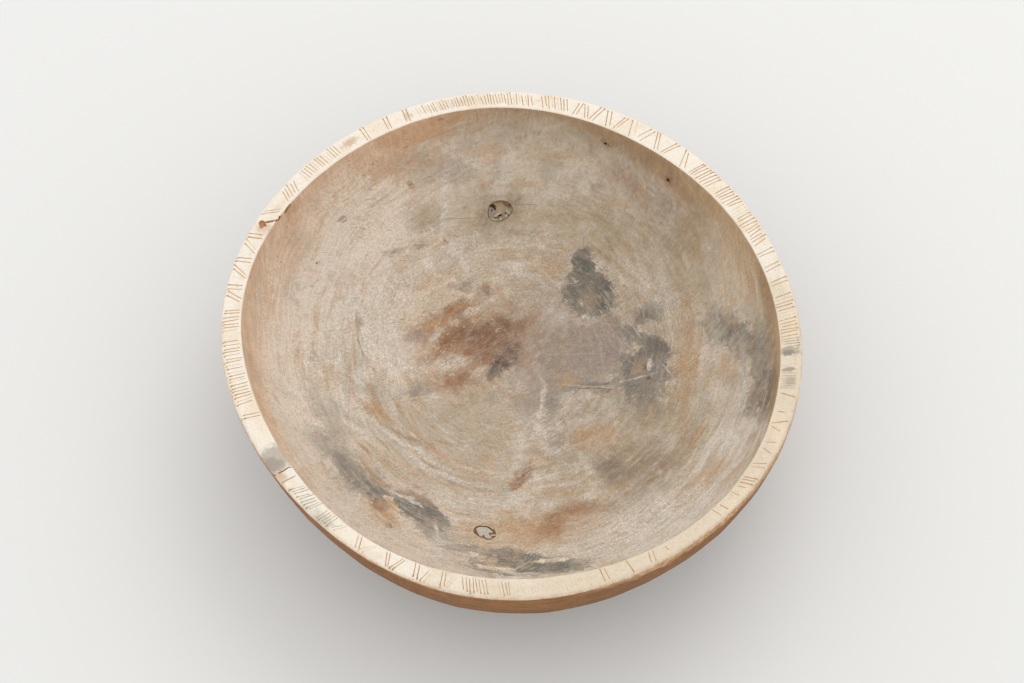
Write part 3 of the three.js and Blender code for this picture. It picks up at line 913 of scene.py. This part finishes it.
def hollowWood():
    wood = Finish("hollowWood")
    bent = wood.wander(wood.place, 60, 13)
    grain = woodGrain(wood, bent)
    cloud = wood.noise(bent, 48, 3)
    mottle = wood.noise(wood.wander(bent, 12, 7), 13, 5, 0.62)
    patch = wood.noise(wood.vector("MULTIPLY", wood.place, (1, 1, 0.6)), 5.5, 4, 0.7)
    grit = wood.noise(wood.place, 1.4, 3, 0.85)
    curly = wood.wander(wood.place, 34, 14)
    # fine strokes: round the bowl, and up to the right over the middle and in some patches
    lay = wood.ramp(wood.noise(wood.place, 40, 1), 0.50, 0.58, 0, 0.8)
    lay = wood.maths("MAXIMUM", lay, stainFrom(wood, wood.place, cloud - 0.5, middlePlace))
    height = wood.part(wood.place, "Z")
    high = wood.ramp(height, 36, 80)
    strokes = wood.noise(ringed(wood, bent, 10, 0.95), 1, 3, 0.7) * (1 - high)
    strokes = (strokes + wood.noise(ringed(wood, bent, 4, 1.1), 1, 3, 0.65) * high) * (1 - lay)
    strokes = strokes + brushed(wood, curly, 38, 8, 0.95, 3) * lay
    sweeps = wood.noise(ringed(wood, wood.wander(wood.place, 60, 18), 2.4, 8), 1, 4, 0.62)
    broad = wood.noise(ringed(wood, bent, 7, 2.8), 1, 3, 0.65) * (1 - lay)
    broad = broad + brushed(wood, curly, 38, 13, 2.8, 3) * lay
    noises = (patch, strokes, grit, broad, mottle)
    rough, lined, dotted, swept, mottled = (wood.ramp(value, 0.37, 0.63) for value in noises)
    # the left is pinker and paler than the right; the walls are paler than the floor, partly the wood's own
    # tone and partly painted light on the walls
    sideways = wood.part(wood.place, "X")
    side = wood.ramp(sideways + (cloud - 0.5) * 190, -100, 70)
    # partly painted light: the walls are mixed paler than the floor
    wall = wood.ramp(height + (cloud - 0.5) * 60 + (patch - 0.5) * 14, 24, 70, 0, 0.8)
    tone = wood.mix(side, palette["rose"], palette["drab"])
    tone = wood.mix(wood.ramp(cloud, 0.5, 0.66, 0, 0.6), tone, palette["ash"])
    tone = wood.mix(wood.ramp(mottle, 0.46, 0.66, 0, 0.5), tone, palette["warm"])
    tone = wood.mix(wall, tone, wood.mix(side, palette["paleLeft"], palette["paleRight"]))
    tone = wood.mix(wood.ramp(mottle, 0.44, 0.34, 0, 0.3), tone, palette["olive"])
    tone = wood.mix(wood.ramp(sweeps, 0.54, 0.66, 0, 0.5), tone, palette["bone"])
    tone = wood.mix(wood.ramp(sweeps, 0.46, 0.34, 0, 0.4), tone, palette["ash"])
    drift = wood.noise(wood.vector("MULTIPLY", curly, (1, 1, 0.6)), 24, 5, 0.62, out="Color")
    for axis, name, strength in (("X", "bone", 0.6), ("Y", "tan", 0.4), ("Z", "ash", 0.6)):
        amount = wood.ramp(wood.part(drift, axis), 0.51, 0.61, 0, strength)
        tone = wood.mix(amount, tone, palette[name])
    fray = rough * 0.25 + swept * 0.22 + mottled * 0.25 + lined * 0.12 + dotted * 0.16 - 0.5
    # growth rings show most where they are cut at a slant
    arcs = wood.noise(ringed(wood, bent, 3.4, 5.5), 1, 4, 0.6)
    where = 0.34
    for entry in ringPlaces:
        where = stainFrom(wood, wood.place, fray, entry) + where
    tone = wood.mix(wood.ramp(arcs, 0.52, 0.64) * where, tone, palette["bone"])
    tone = wood.mix(wood.ramp(arcs, 0.46, 0.34) * where, tone, palette["tan"])
    across, ahead, drop = fromMiddle(wood)
    under = underRim(wood, cloud, strokes, across, ahead, drop)
    tone = wood.mix(under, tone, underRimTone(wood, mottle, across))
    # painted highlight: the near wall just under the rim is mixed paler, where it faces the light
    nearWallHighlight = wood.ramp(drop + (patch - 0.5) * 10 + across * 9, 18, 5, 0, 0.85)
    tone = wood.mix(nearWallHighlight * wood.ramp(ahead, 0, -0.4), tone, colour("#E4D3BF"))
    frayed = wood.wander(wood.wander(wood.place, 26, 13), 6, 4)
    thin = wood.ramp(rough * 0.2 + swept * 0.3 + lined * 0.25 + dotted * 0.25, 0.3, 0.7, 0.42, 1.5)
    for entry in stains:
        tone = wood.mix(stainFrom(wood, frayed, fray, entry) * thin, tone, palette[entry[3]])
    tone = wood.mix(wood.ramp(strokes, 0.56, 0.7, 0, 0.16), tone, palette["bone"])
    marks = wood.ramp(brushed(wood, curly, 20, 10, 1.0, 1), 0.36, 0.22, 0, 0.4)
    tone = wood.mix(marks, tone, palette["umber"])
    shaky = wood.wander(wood.place, 5, 1.6)
    for start, end, width, name, strength in scratches:
        middle = ((start[0] + end[0]) / 2, (start[1] + end[1]) / 2)
        half = (math.dist(start, end) / 2, width / 2)
        turn = math.degrees(math.atan2(start[1] - end[1], end[0] - start[0]))
        mask = stainFrom(wood, shaky, fray, (middle, half, turn, name, 0.7 * strength, 0.9, 1.1))
        tone = wood.mix(mask, tone, palette[name])
    shade = ((grit - 0.5) * 1.5 + (strokes - 0.5) * 0.7) * (1 - high * 0.45)
    shade = shade + (grain["fibres"] - 0.5) * 0.4 + 1.0
    wood.feed("Base Color", tinted(wood, tone, shade))
    wood.feed("Roughness", wood.ramp(mottle, 0.3, 0.7, 0.62, 0.86))
    wood.bump(grain["fibres"] * 0.4 + strokes * 0.5 + grit * 0.4 + mottle * 0.5, 0.0004, 0.6)
    return wood


def fromMiddle(wood):
    # which way a place lies from the middle of the bowl, and how far below the rim
    flat = wood.vector("MULTIPLY", wood.place, (1, 1, 0))
    heading = wood.vector("NORMALIZE", flat)
    across, ahead = (wood.part(heading, axis) for axis in "XY")
    height = wood.part(wood.place, "Z")
    return across, ahead, bowl["height"] / mm - height


def underRim(wood, cloud, strokes, across, ahead, drop):
    # the wood just under the rim is darker: a wide band at the sides, a narrow one at the far side
    reach = across * across * 24 + wood.ramp(across, 0.1, -0.5, 13, 32)
    edge = drop - reach + (cloud - 0.5) * 50 + (strokes - 0.5) * 36
    band = wood.ramp(edge, 14, -12, 0, 0.85)
    return band * wood.ramp(ahead, -0.75, -0.25) * wood.ramp(across, -1, -0.5, 0.7, 1)


def underRimTone(wood, mottle, across):
    tone = wood.mix(wood.ramp(across, -0.6, 0.1), colour("#E0B48E"), colour("#AF8D6A"))
    tone = wood.mix(wood.ramp(across, 0.3, 0.8), tone, colour("#C4A680"))
    return wood.mix(wood.ramp(mottle, 0.4, 0.65, 0, 0.5), tone, palette["tan"])


# stains of the rim, listed as those of the hollow
rimStains = (
    ((276, 458), (15, 13), 0, "ash", 0.85, 0.35, 0.7),
    ((274, 465), (10, 8), -30, "lead", 0.60, 0.4, 0.8),
    ((281, 476), (6, 4), -40, "honey", 0.60, 0.6, 0.8),
    ((322, 519), (12, 7), -40, "ash", 0.55, 0.6, 0.9),
    ((308, 506), (10, 7), -40, "bone", 0.50, 0.6, 0.8),
    ((257, 414), (6, 26), 16, "straw", 0.50, 0.6, 0.7),
    ((350, 142), (8, 3), 34, "tan", 0.55, 0.5, 1.1),
    ((408, 116), (4, 4), 20, "honey", 0.45, 0.6, 1.0),
    ((790, 350.5), (9, 4.6), 8, "lead", 0.70, 0.4, 1.2),
    ((788, 353), (6, 2), 8, "slate", 0.55, 0.5, 1.2),
    ((788, 369.5), (6, 2.4), 4, "slate", 0.65, 0.5, 1.2),
    ((790, 381), (6, 5), 0, "lead", 0.55, 0.6, 1.1),
    ((793, 330), (3, 14), 0, "straw", 0.60, 0.6, 0.8),
    ((781, 440), (5, 30), -18, "straw", 0.50, 0.6, 0.8),
    ((740, 510), (14, 22), -40, "straw", 0.35, 0.6, 0.8),
    ((264, 228), (8, 6), 30, "honey", 0.45, 0.6, 1.0),
)


def rimWood():
    wood = Finish("rimWood")
    bent = wood.wander(wood.place, 30, 8)
    grain = woodGrain(wood, bent)
    cloud = wood.noise(bent, 26, 4, 0.6)
    patch = wood.noise(wood.place, 4, 4, 0.7)
    tone = wood.mix(wood.ramp(cloud, 0.44, 0.68), palette["cream"], colour("#EBDBC3"))
    tone = wood.mix(wood.ramp(grain["bands"], 0.55, 0.75, 0, 0.4), tone, palette["bone"])
    tone = wood.mix(wood.ramp(patch, 0.6, 0.74, 0, 0.35), tone, palette["straw"])
    across, ahead, _ = fromMiddle(wood)
    tone = wood.mix(wood.ramp(across - ahead + cloud, 0.8, 1.7, 0, 0.85), tone, colour("#DAC8AF"))
    frayed = wood.wander(wood.place, 4, 2.4)
    for entry in rimStains:
        tone = wood.mix(stainFrom(wood, frayed, patch - 0.5, entry), tone, palette[entry[3]])
    height = wood.part(wood.place, "Z") + (patch - 0.5) * 2.4
    radius = wood.length(wood.vector("MULTIPLY", wood.place, (1, 1, 0)))
    worn = wood.ramp(height, 139.5, 136.6, 0, 0.8) * wood.ramp(radius, 199, 203)
    tone = wood.mix(worn, tone, wood.mix(wood.ramp(patch, 0.4, 0.6), colour("#C99C72"), colour("#E2C7A4")))
    shade = (grain["fibres"] - 0.5) * 0.3 + (grain["pores"] - 0.5) * 0.3 + 1.0
    wood.feed("Base Color", tinted(wood, tone, shade))
    wood.feed("Roughness", wood.ramp(cloud, 0.3, 0.7, 0.7, 0.85))
    wood.bump(grain["fibres"] + grain["pores"] * 0.4, 0.0003, 0.5)
    return wood


def outsideWood():
    wood = Finish("outsideWood", specular=0.2)
    bent = wood.wander(wood.place, 60, 10)
    grain = woodGrain(wood, bent)
    cloud = wood.noise(bent, 60, 4, 0.6)
    # the grain runs from left to right through the block
    level = wood.vector("MULTIPLY", wood.wander(wood.place, 50, 9), (0.06, 1, 1))
    streaks = wood.noise(level, 2.4, 4, 0.68)
    patch = wood.noise(wood.vector("MULTIPLY", level, (2.5, 1, 1)), 8, 4, 0.6)
    facets = wood.noise(wood.vector("MULTIPLY", wood.wander(wood.place, 30, 8), (0.5, 0.5, 1)), 15, 1, 0.4)
    grit = wood.noise(wood.place, 1.6, 3, 0.8)
    # darker towards the base, partly the wood's own tone and partly painted shade; pale at the lip, partly
    # worn wood and partly painted light
    height = wood.part(wood.place, "Z")
    shelf = height + (cloud - 0.5) * 90 + (facets - 0.5) * 50 + (patch - 0.5) * 20
    tone = wood.mix(wood.ramp(shelf, 30, 128), colour("#5F3E26"), colour("#8B5F39"))
    tone = wood.mix(wood.ramp(grain["bands"], 0.48, 0.7, 0, 0.25), tone, colour("#AC835A"))
    tone = wood.mix(wood.ramp(grain["bands"], 0.48, 0.26, 0, 0.3), tone, palette["umber"])
    tone = wood.mix(wood.ramp(patch, 0.5, 0.72, 0, 0.35), tone, colour("#98744E"))
    tone = wood.mix(wood.ramp(streaks, 0.5, 0.75, 0, 0.3), tone, colour("#A87E54"))
    tone = wood.mix(wood.ramp(streaks, 0.5, 0.3, 0, 0.45), tone, colour("#5F4029"))
    across, ahead, drop = fromMiddle(wood)
    # painted light: the pale lip is narrow on the near side and wider on the right and far side, as light
    # falls on the rounded edge
    reach = wood.ramp(ahead, -0.75, -0.1, 3, 13) + wood.ramp(across, 0.05, 0.6, 0, 10)
    lip = wood.ramp(drop - reach + (patch - 0.5) * 16 + (cloud - 0.5) * 10, 4, -7, 0, 0.9)
    tone = wood.mix(lip, tone, wood.mix(wood.ramp(streaks, 0.4, 0.62), colour("#BC8F66"), colour("#DDBB94")))
    shade = (grit - 0.5) * 0.8 + (streaks - 0.5) * 0.5 + (grain["fibres"] - 0.5) * 0.4 + 1.0
    wood.feed("Base Color", tinted(wood, tone, shade))
    wood.feed("Roughness", wood.ramp(cloud, 0.3, 0.7, 0.6, 0.8))
    wood.bump(streaks + facets * 4 + grain["fibres"] * 0.6 + grit * 0.4, 0.0006, 0.7)
    return wood


def cutWood(name, light, dark):
    wood = Finish(name, 0.85)
    patch = wood.noise(wood.place, 6, 3, 0.6)
    wood.feed("Base Color", wood.mix(wood.ramp(patch, 0.35, 0.65), colour(light), colour(dark)))
    wood.bump(wood.noise(wood.place, 0.8), 0.0002)
    return wood


hollow, rim, outside = hollowWood(), rimWood(), outsideWood()
rimCut = cutWood("cutLineWood", "#CDAA84", "#BA9269")
faintCut = cutWood("faintLineWood", "#E2CFB2", "#D3BB98")
greyCut = cutWood("greyLineWood", "#C4B7A3", "#A89B89")
darkCut = cutWood("creviceWood", "#7A5C44", "#5E4734")
chipWood = cutWood("brokenWood", "#B98A62", "#946640")
softCut = cutWood("scratchWood", "#BBAA92", "#A99880")
crustWood = cutWood("crustWood", "#96694A", "#6E4A34")
barkWood = cutWood("barkWood", "#A08466", "#86694C")


# patches of the knot, right and up from its middle in mm: middle, half size, turn, colour, strength
knotPatches = (
    ((-5.6, -1.6), (3.0, 4.4), 0, "#A0938A", 0.9),
    ((0.7, 1.4), (3.0, 3.0), -30, "#BFA382", 0.8),
    ((4.8, -1.4), (3.4, 3.6), 0, "#9C9278", 0.8),
    ((4.8, 5.4), (4.8, 1.6), -38, "#6B5138", 0.8),
    ((-0.6, 7.0), (4.0, 0.9), 4, "#8E6A4C", 0.8),
    ((-2.2, -2.9), (3.4, 0.7), 34, "#C8BDB0", 0.9),
    ((-5.4, -6.6), (3.8, 0.8), -16, "#D6CCBA", 1.0),
    ((0.2, -6.0), (1.1, 0.9), 0, "#CDB9B0", 0.9),
    ((-3.6, -5.2), (2.2, 0.7), -10, "#6E6459", 0.7),
    ((5.3, 0.3), (0.6, 0.9), 20, "#CFC8B4", 0.9),
    ((4.5, -3.6), (0.7, 0.7), 0, "#CFC8B4", 0.9),
    ((6.8, -1.4), (0.7, 1.0), 0, "#C6B9A4", 0.8),
)


def plugWood():
    wood = Finish("knotWood")
    at = seenAt(*knot["middle"])
    turned = Matrix((at["right"], at["up"], at["out"])).transposed().to_euler()
    local = wood.map(wood.wander(wood.place, 2.2, 1.3, 3), tuple(at["spot"] / mm), tuple(turned))
    reach = wood.length(wood.vector("MULTIPLY", local, (0.83, 1, 0)))
    rings = wood.noise(wood.node("ShaderNodeCombineXYZ", {}, {0: reach}), 0.9, 2, 0.6)
    grit = wood.noise(wood.place, 0.9, 4, 0.8)
    tone = wood.mix(wood.ramp(grit, 0.38, 0.62), colour("#B09B7E"), colour("#8C7A60"))
    tone = wood.mix(wood.ramp(rings, 0.5, 0.66, 0, 0.5), tone, colour("#BCAE94"))
    for middle, half, turn, code, strength in knotPatches:
        size = (*(stainReach * part for part in half), 99)
        near = wood.ballFade(wood.map(local, (*middle, 0), (0, 0, math.radians(turn)), size))
        near = near + (grit - 0.5) * 0.6
        tone = wood.mix(wood.ramp(near, 0.46, 0.74, 0, strength), tone, colour(code))
    tone = wood.mix(wood.ramp(reach + grit * 1.5, 7.6, 8.8, 0, 0.5), tone, colour("#86694C"))
    tone = wood.mix(wood.ramp(grit, 0.42, 0.3, 0, 0.8), tone, colour("#5C4E3E"))
    wood.feed("Base Color", wood.mix(wood.ramp(grit, 0.58, 0.7, 0, 0.5), tone, colour("#CDC0A8")))
    wood.bump(grit + rings * 0.5, 0.0006, 0.8)
    return wood


def paste(name, main, shadow, spot):
    plain = Finish(name, 0.7, 0.35)
    cloud = plain.noise(plain.place, 5, 4, 0.6)
    grit = plain.noise(plain.place, 0.7, 2)
    tone = plain.mix(plain.ramp(cloud, 0.4, 0.7, 0, 0.7), colour(main), colour(shadow))
    plain.feed("Base Color", plain.mix(plain.ramp(grit, 0.66, 0.74, 0, 0.5), tone, colour(spot)))
    plain.feed("Roughness", plain.ramp(cloud, 0.3, 0.7, 0.6, 0.8))
    plain.bump(cloud * 1.5 + grit * 0.4, 0.0003, 0.6)
    return plain


knotWood = plugWood()
greyPaste = paste("greyFiller", "#C6BCB0", "#B3A89B", "#93877A")
creamPaste = paste("creamFiller", "#F3ECDC", "#E9DFC8", "#CFBC9A")
print("woods mixed")


def paintBowl():
    for finish in (hollow, rim, outside):
        body.data.materials.append(finish.material)
    for face in body.data.polygons:
        side = [shares[index] for index in face.vertices]
        z = face.center.z
        if z > bowl["height"] - bowl["outerEdgeRound"] and max(side) > 0:
            face.material_index = 1
        elif min(side) > 0.5:
            face.material_index = 2


paintBowl()

# the rim's cut lines: clock of the outer and of the inner end, how many, pitch, from, to, strength
rimLines = (
    (338.0, 338.5, 40, 0.68, 0.20, 0.75, 0.85),
    (7.0, 7.8, 9, 0.72, 0.20, 0.83, 0.9),
    (15.9, 14.9, 2, 0.80, 0.15, 0.80, 0.9),
    (17.1, 17.9, 2, 0.85, 0.10, 0.85, 1.0),
    (21.0, 19.0, 2, 0.85, 0.10, 0.85, 1.1),
    (22.6, 23.4, 2, 0.80, 0.10, 0.90, 1.0),
    (26.7, 25.2, 2, 0.80, 0.15, 0.85, 0.8),
    (28.5, 29.3, 2, 1.00, 0.10, 0.90, 1.0),
    (33.3, 31.3, 2, 0.80, 0.15, 0.85, 0.8),
    (34.6, 36.0, 2, 0.70, 0.10, 0.90, 1.2),
    (39.6, 37.6, 2, 0.80, 0.15, 0.85, 0.9),
    (41.8, 43.3, 2, 1.00, 0.10, 0.90, 1.0),
    (46.8, 45.6, 8, 0.72, 0.10, 0.90, 1.0),
    (54.0, 53.2, 7, 0.70, 0.15, 0.90, 0.9),
    (58.9, 58.7, 7, 0.70, 0.15, 0.90, 0.9),
    (63.8, 64.1, 6, 0.70, 0.15, 0.85, 0.9),
    (69.6, 69.6, 2, 0.80, 0.10, 0.90, 1.0),
    (72.6, 72.9, 2, 0.80, 0.10, 0.90, 1.0),
    (76.1, 76.5, 2, 0.80, 0.10, 0.90, 1.0),
    (79.5, 79.8, 13, 0.70, 0.05, 0.85, 0.9),
    (88.5, 88.8, 5, 0.52, 0.08, 0.90, 0.8),
    (95.0, 95.3, 8, 0.55, 0.10, 0.75, 0.6),
    (100.7, 100.0, 1, 1.00, 0.15, 0.80, 1.0),
    (103.8, 103.8, 1, 1.00, 0.30, 0.60, 1.2),
    (105.5, 106.5, 1, 1.00, 0.15, 0.85, 1.0),
    (107.8, 107.1, 1, 1.00, 0.15, 0.75, 0.8),
    (110.2, 110.8, 1, 1.00, 0.15, 0.75, 0.8),
    (112.8, 112.2, 1, 1.00, 0.15, 0.80, 0.8),
    (115.0, 115.9, 2, 0.80, 0.15, 0.85, 0.9),
    (118.6, 119.4, 3, 0.70, 0.10, 0.90, 1.2),
    (121.5, 121.7, 1, 1.00, 0.15, 0.70, 0.9),
    (123.5, 123.6, 1, 1.00, 0.10, 0.70, 0.9),
    (127.2, 127.4, 2, 1.80, 0.10, 0.75, 0.8),
    (142.5, 142.5, 1, 1.00, 0.30, 0.60, 0.9),
    (146.2, 145.4, 2, 0.95, 0.10, 0.85, 1.1),
    (151.7, 151.7, 1, 1.00, 0.15, 0.85, 1.7),
    (157.3, 157.3, 2, 1.00, 0.10, 0.85, 1.0),
    (161.5, 161.7, 22, 0.80, 0.30, 0.75, 0.45),
    (180.0, 180.6, 4, 0.80, 0.15, 0.85, 0.8),
    (185.3, 186.2, 8, 0.80, 0.10, 0.85, 1.0),
    (194.8, 193.2, 2, 0.70, 0.20, 0.80, 0.5),
    (195.4, 195.9, 2, 0.85, 0.10, 0.90, 0.9),
    (200.4, 199.0, 2, 0.80, 0.15, 0.85, 0.5),
    (202.0, 202.6, 2, 0.95, 0.10, 0.90, 0.9),
    (208.0, 206.0, 2, 0.80, 0.10, 0.90, 0.8),
    (208.9, 210.2, 2, 0.80, 0.10, 0.90, 1.2),
    (215.8, 213.6, 2, 0.80, 0.15, 0.85, 0.5),
    (216.6, 217.9, 2, 1.00, 0.10, 0.90, 1.0),
    (223.8, 222.2, 2, 0.90, 0.20, 0.80, 0.5),
    (225.6, 225.2, 5, 0.70, 0.15, 0.85, 0.8),
    (230.9, 229.9, 9, 0.75, 0.10, 0.85, 0.9),
    (238.9, 238.7, 1, 1.00, 0.10, 0.90, 1.3),
    (254.5, 254.5, 2, 0.70, 0.10, 0.90, 1.0),
    (257.4, 258.1, 20, 0.68, 0.10, 0.90, 0.9),
    (272.4, 273.4, 7, 0.70, 0.10, 0.90, 1.0),
    (279.9, 279.1, 2, 0.80, 0.10, 0.85, 0.9),
    (281.0, 281.9, 2, 0.80, 0.10, 0.90, 1.0),
    (285.3, 284.1, 2, 0.80, 0.10, 0.85, 0.9),
    (286.8, 287.8, 2, 0.80, 0.10, 0.90, 1.0),
    (291.0, 289.6, 2, 0.80, 0.10, 0.85, 0.9),
    (292.1, 293.3, 2, 0.80, 0.10, 0.90, 1.1),
    (297.6, 300.2, 2, 0.70, 0.10, 0.85, 0.8),
    (303.9, 303.0, 5, 0.75, 0.15, 0.80, 0.8),
    (309.0, 309.3, 14, 0.70, 0.20, 0.80, 0.75),
    (320.2, 320.2, 4, 0.70, 0.20, 0.70, 0.4),
    (325.0, 325.0, 2, 0.80, 0.10, 0.85, 0.9),
    (330.5, 330.5, 2, 0.80, 0.10, 0.85, 0.9),
    (335.0, 335.0, 2, 0.80, 0.10, 0.90, 1.2),
)
cutSize = {"width": 0.00070, "depth": 0.00022}


toolRise = 0.002    # how far a ball that cuts the bowl stands out of the wood
toolStand = 0.0004


def setKnot():
    at = seenAt(*knot["middle"])
    outline, depth, ring = knot["outline"], knot["depth"], knot["ring"]
    plug = layBall(ball, "knot", at, outline, 0.0004, depth, stand=-0.0002, rough=0.0012)
    paint(plug, knotWood)
    pocket = layBall(ball, "pocket", at, outline, toolRise, depth, knot["gap"], toolStand)
    bark = layBall(ball, "ring", at, outline, toolRise, ring["depth"], ring["grow"])
    for middle, opening, deep in knot["hollows"]:
        gap = layBall(ball, "gap", seenAt(*middle), opening, 0.0015, deep, stand=0.0002)
        applyBoolean(plug, paint(gap, darkCut))
    return plug, paint(pocket, darkCut), paint(bark, barkWood)


def setGreyFiller():
    # pale paste on a brown bed
    at = seenAt(*greyFiller["middle"])
    outline, depth = greyFiller["pocket"], greyFiller["depth"]
    pocket = layBall(ball, "pocket", at, outline, toolRise, depth, greyFiller["gap"], toolStand)
    plug = layBall(ball, "greyFiller", at, outline, 0.0, depth, stand=-greyFiller["bed"], rough=0.0006)
    paint(plug, crustWood)
    lumps = [layBall(ball, "paste", at, greyFiller["outline"], greyFiller["rise"], 0.004, rough=0.0006)]
    for middle, crumb in greyFiller["crumbs"]:
        lumps.append(layBall(ball, "paste", seenAt(*middle), crumb, 0.0002, 0.002, rough=0.0003))
    applyBoolean(plug, paint(joinPieces(lumps, "paste"), greyPaste), "UNION")
    return plug, paint(pocket, darkCut)


def setCreamFiller():
    # its top is the rim's own face
    stock = copyPiece(body, "rimStock")
    at = framed(*rimSpot(creamFiller["clock"], creamFiller["across"]))
    shape = (creamFiller["outline"], 0.004, creamFiller["depth"])
    plug = layBall(ball, "creamFiller", at, *shape, stand=0.0005, follow=False)
    paint(plug, creamPaste)
    pocket = layBall(ball, "pocket", at, *shape, creamFiller["gap"], stand=0.0005, follow=False)
    applyBoolean(plug, stock, "INTERSECT")
    return plug, paint(pocket, darkCut)


def carveFlaws(pockets, bark):
    # everything that is cut out of the bowl: what might touch is cut in a later layer
    deep = list(pockets)
    for across, down, size in wormHoles:
        circle = [(turn, size) for turn in range(0, 360, 45)]
        hole = layBall(ball, "hole", seenAt(across, down), circle, toolRise, 0.006, stand=toolStand)
        deep.append(paint(hole, darkCut))
    for middle, outline, depth in chips:
        chip = layBall(ball, "chip", seenAt(*middle), outline, toolRise, depth, stand=0.0002)
        deep.append(paint(chip, chipWood))
    lines = []
    for paths, finish in ((softLines, softCut), (darkLines, chipWood)):
        for points, width, depth in paths:
            lines.append(paint(layBar(longBar, seenPath(*points), width * mm, depth * mm), finish))
    for layer in (deep, [bark], lines):
        applyBoolean(body, joinPieces(layer, "flaws"))


def makePlugs():
    knotPlug, knotPocket, bark = setKnot()
    greyPlug, greyPocket = setGreyFiller()
    creamPlug, creamPocket = setCreamFiller()
    carveFlaws((knotPocket, greyPocket, creamPocket), bark)
    print("knot, fillers and flaws set in")
    return knotPlug, greyPlug, creamPlug


plugs = makePlugs()


def lineWood(clock, force):
    # the lines are grey where they run through grey stains
    if 88 < clock < 99 or 224 < clock < 239:
        return greyCut
    return rimCut if force > 0.66 else faintCut


def cutRim():
    layers = []
    for outer, inner, count, pitch, fromShare, toShare, strength in rimLines:
        for line in range(count):
            ends = [clock + line * pitch + dice.gauss(0, 0.08) for clock in (outer, inner)]
            low, high = (min(0.93, max(0.05, share + dice.gauss(0, 0.04))) for share in (fromShare, toShare))
            steps = np.linspace(0, 1, 7)
            path = [rimSpot(ends[1] + (ends[0] - ends[1]) * t, low + (high - low) * t) for t in steps]
            force = strength * max(0.5, 1 + dice.gauss(0, 0.2)) * (0.92 if count > 6 else 1)
            width, depth = cutSize["width"] * (0.45 + 0.55 * force), cutSize["depth"] * force
            cut = paint(layBar(bar, path, width, depth), lineWood(ends[0], force))
            reach = (min(ends) - 0.28, max(ends) + 0.28)
            # lines that might touch go to different layers, each cut on its own
            free = [l for l in layers if all(reach[0] > b or reach[1] < a for a, b in l["reaches"])]
            if not free:
                free = [{"reaches": [], "cuts": []}]
                layers += free
            layer = free[0]
            layer["reaches"].append(reach)
            layer["cuts"].append(cut)
    for layer in layers:
        applyBoolean(body, joinPieces(layer["cuts"], "cutLayer"))
    print("rim cut with", sum(len(layer["cuts"]) for layer in layers), "lines in", len(layers), "layers")


cutRim()

# lights and floor
light = {
    "sky": 1.0,
    "skyColour": (0.98, 0.99, 1, 1),
    "key": 9,
    "keyColour": (1, 0.975, 0.94),
    "keySize": 1.6,
    "keyAt": (0.6, 1.3, 2.2),
    "floor": "#E9E8E5",
}


def addLight():
    world = bpy.data.worlds.new("softRoom")
    world.use_nodes = True
    world.node_tree.nodes["Background"].inputs["Color"].default_value = light["skyColour"]
    world.node_tree.nodes["Background"].inputs["Strength"].default_value = light["sky"]
    bpy.context.scene.world = world
    aim = Vector(camera["target"]) - Vector(light["keyAt"])
    turn = aim.to_track_quat("-Z", "Y").to_euler()
    bpy.ops.object.light_add(type="AREA", location=light["keyAt"], rotation=turn)
    lamp = bpy.context.object.data
    lamp.size = light["keySize"]
    lamp.energy = light["key"]
    lamp.color = light["keyColour"]


def addFloor():
    bpy.ops.mesh.primitive_plane_add(size=8, location=(0, 0, 0))
    ground = bpy.context.object
    ground.name = "floor"
    plain = Finish("paleFloor", 0.9)
    plain.shader.inputs["Base Color"].default_value = colour(light["floor"])
    paint(ground, plain)


addLight()
addFloor()
bpy.context.scene.view_settings.view_transform = "Standard"

for tool in (bar, longBar, ball):
    bpy.data.objects.remove(tool)
for piece, angle, node, slot in (
        (body, 32, "bowl_body", "carved_wood"),
        (plugs[0], 50, "encased_knot", "knot_wood"),
        (plugs[1], 60, "knot_hole_filler", "grey_filler"),
        (plugs[2], 40, "rim_filler", "cream_filler")):
    pick(piece)
    bpy.ops.object.shade_smooth_by_angle(angle=math.radians(angle))
    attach(piece, "root")
    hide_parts(node)

bpy.context.view_layer.update()
